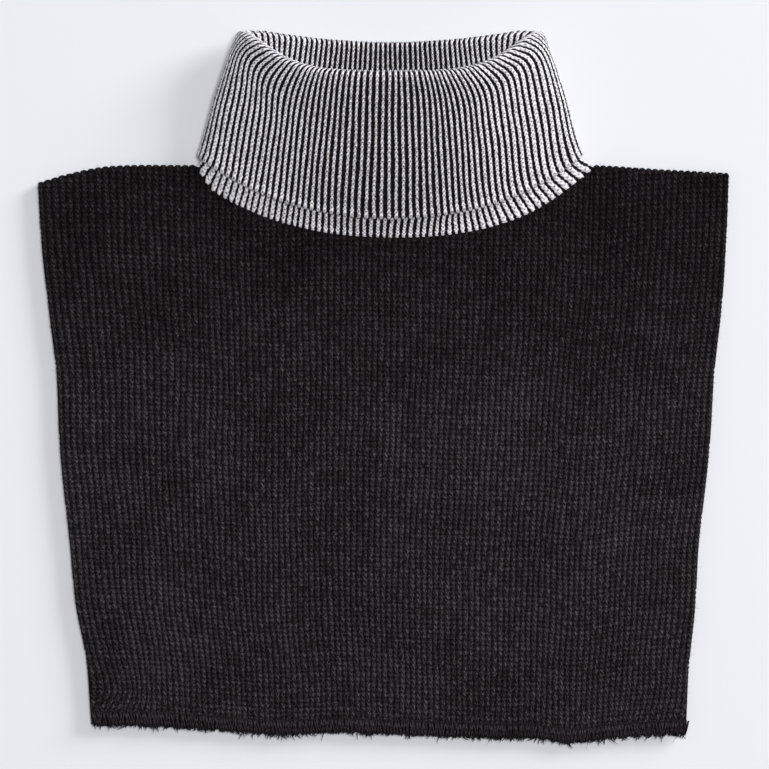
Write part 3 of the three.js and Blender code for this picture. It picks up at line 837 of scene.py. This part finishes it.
def panel_surface(rib, face, below_of):
    """Points and normals of a panel. below_of gives each column's rows from its length."""
    front = face == "front"
    top, top_normal, at_neck = column_top(rib, face)
    length = top[:, 1] + panel_length[face]
    if front:
        length = length + hem_sag * read_table(hem_line, "sag", rib / bib_ribs)
    below = below_of(length)
    down = below / length
    course = (length - below) / bib_course
    fade = (np.clip(np.minimum(rib, bib_ribs - rib) / still_ribs, 0, 1)
            * np.clip(below / still_length, 0, 1))
    drifted = rib + wander(rib, course, 0.1) * fade
    inset = selvedge + (0 if front else back_inset * np.minimum(1, 4 * down))
    left, right = side_edge(-1, down, inset), side_edge(1, down, inset)
    top_left, top_right = side_edge(-1, 0, 0), side_edge(1, 0, 0)
    top_share = (top[:, 0] - top_left) / (top_right - top_left)
    fan = 1 - (1 - down) ** rib_fan
    across = lerp(top_share + (drifted - rib) / bib_ribs, drifted / bib_ribs, fan)
    flat = fold_height + fold_radius * (1 if front else -1)
    over = np.maximum(0, top[:, 2] - flat) if front else 0
    turned = top[:, 2] - flat - over
    arc = np.clip(1 - below / fold_radius, 0, 1)
    slope = np.clip(1 - below / neck_reach, 0, 1)
    swell = swell_at(across, down) if front else 0
    z = flat + turned * (1 - np.sqrt(1 - arc**2)) + over * slope**2 + swell
    points = np.stack([lerp(left, right, across), top[:, 1] - below, z], -1)
    normals = unit(np.cross(np.gradient(points, axis=1), np.gradient(points, axis=0)))
    normals = normals * np.sign(normals[..., 2:] + 1e-9) * (1 if front else -1)
    near = np.where(at_neck, np.clip(1 - below / 3, 0, 1), below < 1e-6)[..., None]
    normals = unit(lerp(normals, np.broadcast_to(top_normal, normals.shape), near))
    return points, normals, course, length - below


print("half way down the front:", np.round(swell_at(0.5, 0.4), 2), "mm of swell")

# %% A panel: ribbed outside, plain inside and rounded selvedges
bib_depth, hem_relief = 0.95, 0.45  # of the ribs, and the share of it left at the hem
fold_rows, inner_rows = 4, 9
even_start = 14  # above this the rows spread out to meet the neckline
curl_place, curl_reach = {"left": 4.5, "right": 5}, {"left": 4.5, "right": 6}
lining_gap = 0.3


def corner_curl(rib, above_hem):
    """The ribs bend out towards both corners of the hem, where the edge has stretched."""
    from_side = {"left": rib, "right": bib_ribs - rib}
    return sum(np.exp(-((from_side[side] - curl_place[side]) / curl_reach[side]) ** 2)
               * read_table(hem_curl, side, above_hem) for side in from_side)


def panel(face, per_rib, step):
    """A panel with so many columns for each rib, and rows that are a step apart."""
    rib = np.linspace(0, bib_ribs, bib_ribs * per_rib + 1)
    lengths = panel_surface(rib, face, lambda length: np.stack([0 * length, length]))[3][0]
    common = step * np.arange(int((lengths.min() - even_start) / step), -1, -1)
    turn = fold_radius * (1 - np.cos(pi / 2 * ramp(0, 1, fold_rows)))
    between = int(np.ceil((lengths.max() - fold_radius - common[0]) / step))

    def below_of(length):
        upper = [lerp(fold_radius, length - common[0], share) for share in ramp(0, 1, between)]
        return np.concatenate([np.stack([np.full_like(length, t) for t in turn]), np.stack(upper),
                               length[None, :] - common[:, None]])

    points, normals, course, above = panel_surface(rib, face, below_of)
    taper = np.clip((above - hem_height - seam_gap) / hem_taper, 0, 1)
    half = lerp(hem_wall / 2, knit_wall / 2, taper)
    wale = rib[None, :] + (corner_curl(rib[None, :], above) if face == "front" else 0)
    relief = bib_depth * lerp(hem_relief, 1, taper) * (1 - knit_height(wale, course, 0.06))
    outside = points + normals * (half - relief)[..., None]
    beads = selvedge * (0.8 + 0.2 * np.cos(2 * pi * course))
    edges = []
    for column, side in ((0, -1), (-1, 1)):
        for angle in (pi / 3, pi / 2):
            reach = beads[:, column, None] * np.sin(angle) * np.array([side, 0, 0])
            rise = normals[:, column] * (half[:, column] * np.cos(angle))[:, None]
            edges.append(points[:, column] + reach + rise)
    outside = np.concatenate([np.stack([edges[1], edges[0]], 1), outside, np.stack(edges[2:], 1)], 1)
    wale = np.concatenate([wale[:, :1] - [[0.4, 0.2]], wale, wale[:, -1:] + [[0.2, 0.4]]], 1)
    course = np.concatenate([course[:, :1]] * 2 + [course] + [course[:, -1:]] * 2, 1)

    knitting = Knitting()
    outer = knitting.grid(outside, wale, course, (0.01, 0.01, 0.99, 0.9))
    rows = np.round(np.linspace(0, len(points) - 1, inner_rows)).astype(int)
    columns = np.arange(0, len(rib), 2 * per_rib)
    if columns[-1] != len(rib) - 1:
        columns = np.append(columns, len(rib) - 1)
    place = np.ix_(rows, columns)
    inside = points[place] - normals[place] * (half[place] - lining_gap)[..., None]
    inner = knitting.grid(inside, rib[columns][None, :], course[rows][:, :1],
                          (0.01, 0.92, 0.6, 0.98))
    for one, two in ((outer[0], inner[0]), (outer[-1], inner[-1]), (outer[:, 0], inner[:, 0]),
                     (outer[:, -1], inner[:, -1])):
        knitting.zip(one, two, (0.5, 0.0))
    return knitting


bib_front = panel("front", per_rib=4, step=bib_course / 2)
bib_front = bib_front.piece("bib_front", black_knit, "black_knit")
bib_back = panel("back", per_rib=4, step=2 * bib_course)
bib_back = bib_back.piece("bib_back", black_knit, "black_knit")
for piece, under in ((bib_front, ["bib_back"]), (bib_back, [])):
    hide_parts("bib")

# %% [markdown]
# ## The overlocked hems
#
# The lower edges were cut and overlocked: threads run from a line of needle stitches round the
# cut edge and back. A texture could hint at that, but the edge is an outline, so the threads are
# tubes here, laid over a thin band. Loose fibres of the cut yarn stick out between them.


# %% Tubes along many paths at once
def tubes(knitting, paths, radii, across, sides=5):
    """Threads: paths has a row of points for each, and radii a thickness for each point."""
    along = unit(np.gradient(paths, axis=1))
    one = unit(np.cross(along, np.broadcast_to(across, along.shape)))
    two = np.cross(along, one)
    angle = ramp(0, 2 * pi, sides)
    ring = (one[:, :, None] * np.cos(angle)[:, None] + two[:, :, None] * np.sin(angle)[:, None])
    points = paths[:, :, None] + ring * radii[..., None, None]
    count, length = paths.shape[:2]
    ids = knitting.add(points)
    closed = np.concatenate([ids, ids[:, :, :1]], 2)
    quads = np.stack([closed[:, :-1, :-1], closed[:, :-1, 1:], closed[:, 1:, 1:], closed[:, 1:, :-1]], -1)
    place = np.stack(np.broadcast_arrays(
        np.arange(sides)[None, None, :] / sides, np.arange(length - 1)[None, :, None] * 0.5,
        0.0, np.linspace(0.02, 0.95, count)[:, None, None], 0.5), -1)
    marks = np.repeat(place[..., None, :], 4, -2)
    marks[..., 0] += np.array([0, 1, 1, 0]) / sides
    marks[..., 1] += np.array([0, 0, 0.5, 0.5])
    marks[..., 3:] += 0.5 / count * np.array([[0, 0], [1, 0], [1, 1], [0, 1]])
    knitting.faces.append((quads.reshape(-1, 4), marks.reshape(-1, 4, 5)))
    for ring_ids in (ids[:, 0], ids[:, -1]):
        caps = np.stack([np.stack([ring_ids[:, 0], ring_ids[:, k], ring_ids[:, k + 1]], -1)
                         for k in range(1, sides - 1)], 1).reshape(-1, 3)
        knitting.faces.append((caps, np.full((len(caps), 3, 5), 0.01) * np.arange(1, 4)[:, None]))


# %% The cut edge of a panel, and places beside it
hem_swell, swell_reach, left_share = 1.3, 1.2, 0.3


def hem_places(rib, face, above, off):
    """Points beside the hem: above its edge, and off the middle of the knit."""
    def rows(length):
        return np.stack([length - hem_height, length])
    points = panel_surface(rib, face, rows)[0]
    up = unit(points[0] - points[1])
    out = np.array([0, 0, 1 if face == "front" else -1])
    near_left, near_right = [np.exp(-np.maximum(0, away) / swell_reach) for away in (rib, bib_ribs - rib)]
    swell = hem_swell * (near_right - left_share * near_left)
    return (points[1] + up * above[..., None] + out * off[..., None]
            + swell[:, None] * np.array([1, 0, 0]))


# %% The overlock: a thin band, loops of thread over it and a chain along its top
thread_radius, chain_radius = 0.36, 0.24
stitch_count = 165
hem_inner = hem_wall / 2 + 0.1
hem_outer = hem_wall / 2 + seam_gap + thread_wall - 0.25
band_top = hem_height - 0.6
raggedness = 0.5
half_band = [(hem_height, hem_inner + 0.1), (band_top, hem_outer), (0, hem_outer), (-0.5, 0.6 * hem_outer)]
band_profile = (half_band + [(-0.7, 0)] + [(above, -off) for above, off in half_band[::-1]]
                + [(0, -hem_inner), (0, hem_inner)])
band_end = ((0, 10, 1), (1, 10, 2), (2, 10, 3), (3, 10, 4), (4, 10, 9), (4, 9, 5), (5, 9, 6),
            (6, 9, 7), (7, 9, 8))
thread_top = hem_height - 0.7
loop_rise = [(0, thread_top), (0.3, 1.4), (0.42, -0.2), (0.5, -0.75), (0.58, -0.2), (0.7, 1.4),
             (1, thread_top)]
loop_out = [(0, hem_outer), (0.12, hem_outer + 0.3), (0.4, hem_outer + 0.15), (0.5, 0),
            (0.6, -hem_outer - 0.15), (0.88, -hem_outer - 0.3), (1, -hem_outer)]
loop_width, loop_slants = 1.3, (1.3, -1.1)  # in ribs: each stitch goes over one way and back another


def overlock(face):
    """The thread round a cut edge. Every stitch is two loops that lean against each other."""
    knitting = Knitting()
    rib = np.linspace(0, bib_ribs, 2 * bib_ribs + 1)
    lump = 0.08 * np.sin(2.7 * rib)[:, None]
    ragged = raggedness * random.standard_normal(len(rib))
    band = np.stack([hem_places(rib, face, above + ragged * (above < 1), off + 0 * rib)
                     for above, off in band_profile], 1)
    band[..., 2] += lump
    ids = knitting.grid(band.transpose(1, 0, 2), rib, np.zeros((1, 1)), (0.01, 0.05, 0.98, 0.45),
                        loop=True).T
    for end in (ids[0], ids[-1]):
        for corners in band_end:
            knitting.faces.append((end[[corners]], np.full((1, 3, 5), 0.02)))
    start = np.linspace(-0.1, bib_ribs - loop_width, stitch_count)
    start = start + 0.15 * random.standard_normal(stitch_count)
    steps = np.linspace(0, 1, 11)
    height, off = [np.interp(steps, *zip(*table)) for table in (loop_rise, loop_out)]
    for slant in loop_slants:
        along = start[:, None] + (loop_width if slant < 0 else 0) + slant * steps[None, :]
        uneven = 0.25 * random.standard_normal((stitch_count, 1)) * np.sin(pi * steps)
        path = hem_places(along.ravel(), face, (height + uneven).ravel(), np.tile(off, stitch_count))
        path = path.reshape(stitch_count, -1, 3)
        tubes(knitting, path, np.full(path.shape[:2], thread_radius), (1, 0, 0))
    for side in (1, -1):
        places = np.linspace(0, bib_ribs, 8 * bib_ribs)
        wave = np.sin(2 * pi * places)
        path = hem_places(places, face, band_top + 0.2 * wave, side * (hem_outer - 0.2 + 0.14 * wave))
        tubes(knitting, path[None], np.full((1, len(places)), chain_radius), (0, 0, 1))
    return knitting


front_hem = overlock("front").piece("front_overlock", black_thread, "black_thread")
back_hem = overlock("back").piece("back_overlock", black_thread, "black_thread")
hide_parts("front_hem")
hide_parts("back_hem")


# %% Loose fibres at the cut edge
def fibres(knitting, roots, ways, lengths, thickness):
    """Thin curling fibres from roots, each in its own way."""
    steps = np.linspace(0, 1, 5)[None, :, None]
    curl = random.standard_normal((len(roots), 1, 3)) * 0.45
    path = roots[:, None] + lengths[:, None, None] * (ways[:, None] * steps + curl * steps**2)
    radii = thickness * (1 - 0.8 * steps[..., 0]) * np.ones((len(roots), 1))
    tubes(knitting, path, radii, (0.3, 0.2, 1), sides=3)


tuft_count, tuft_share, thick_share = 140, 0.7, 0.3
thick_radius, thin_radius, fuzz_radius = 0.46, 0.12, 0.06


def hem_fluff(face, count):
    """Tufts of thick cut yarn ends with thin fibres between them."""
    tufts = random.uniform(0, bib_ribs, tuft_count)
    near_tuft = tufts[random.integers(0, tuft_count, count)] + 0.3 * random.standard_normal(count)
    rib = np.where(random.random(count) < tuft_share, near_tuft, random.uniform(0, bib_ribs, count))
    rib = np.clip(rib, 0, bib_ribs)
    thick = random.random(count) < thick_share
    above = np.where(thick, random.uniform(-1.0, -0.3, count), random.uniform(-0.8, 0.6, count))
    roots = hem_places(rib, face, above, random.uniform(-0.8, 0.8, count))
    ways = np.stack([0.7 * random.standard_normal(count), -np.ones(count),
                     0.25 * random.standard_normal(count)], -1)
    knitting = Knitting()
    lengths = np.where(thick, random.uniform(0.6, 2.3, count), random.gamma(3, 0.35, count))
    fibres(knitting, roots, ways, lengths, np.where(thick, thick_radius, thin_radius)[:, None])
    return knitting


fluff_front = hem_fluff("front", 900).piece("front_hem_fluff", black_thread, "black_thread")
fluff_back = hem_fluff("back", 400).piece("back_hem_fluff", black_thread, "black_thread")

# %% Fuzz along the selvedges and the shoulder fold
fuzz_count, longest_fuzz = 900, 1.6
side_places, fuzz_end = 240, 0.97  # along each side edge, down to just above the hem
rib_places, rib_pitch = 5, 3.4  # along the shoulder fold


def outline_fuzz():
    """Short fibres that stand off the outline of the bib."""
    ribs = np.arange(bib_ribs + 1.0)
    down = np.linspace(0, fuzz_end, side_places)[:, None]
    points = panel_surface(ribs, "front", lambda length: length * down)[0]
    shoulder = points[0, (ribs < left_ribs) | (ribs > left_ribs + neck_ribs)]
    shoulder = np.repeat(shoulder, rib_places, 0)
    shoulder = shoulder + np.array([rib_pitch, 0, 0]) * random.uniform(-0.5, 0.5, (len(shoulder), 1))
    roots = np.concatenate([points[:, 0], points[:, -1], shoulder])
    outward = np.repeat([[-1, 0, 0], [1, 0, 0], [0, 1, 0]],
                        [side_places, side_places, len(shoulder)], 0)
    chosen = random.integers(0, len(roots), fuzz_count)
    ways = outward[chosen] + np.array([0.6, 0.6, 0.4]) * random.standard_normal((fuzz_count, 3))
    lengths = np.minimum(random.gamma(2, 0.3, fuzz_count), longest_fuzz)
    knitting = Knitting()
    fibres(knitting, roots[chosen] + 0.8 * outward[chosen], ways, lengths, fuzz_radius)
    return knitting


fuzz = outline_fuzz().piece("bib_fuzz", black_knit, "black_knit")
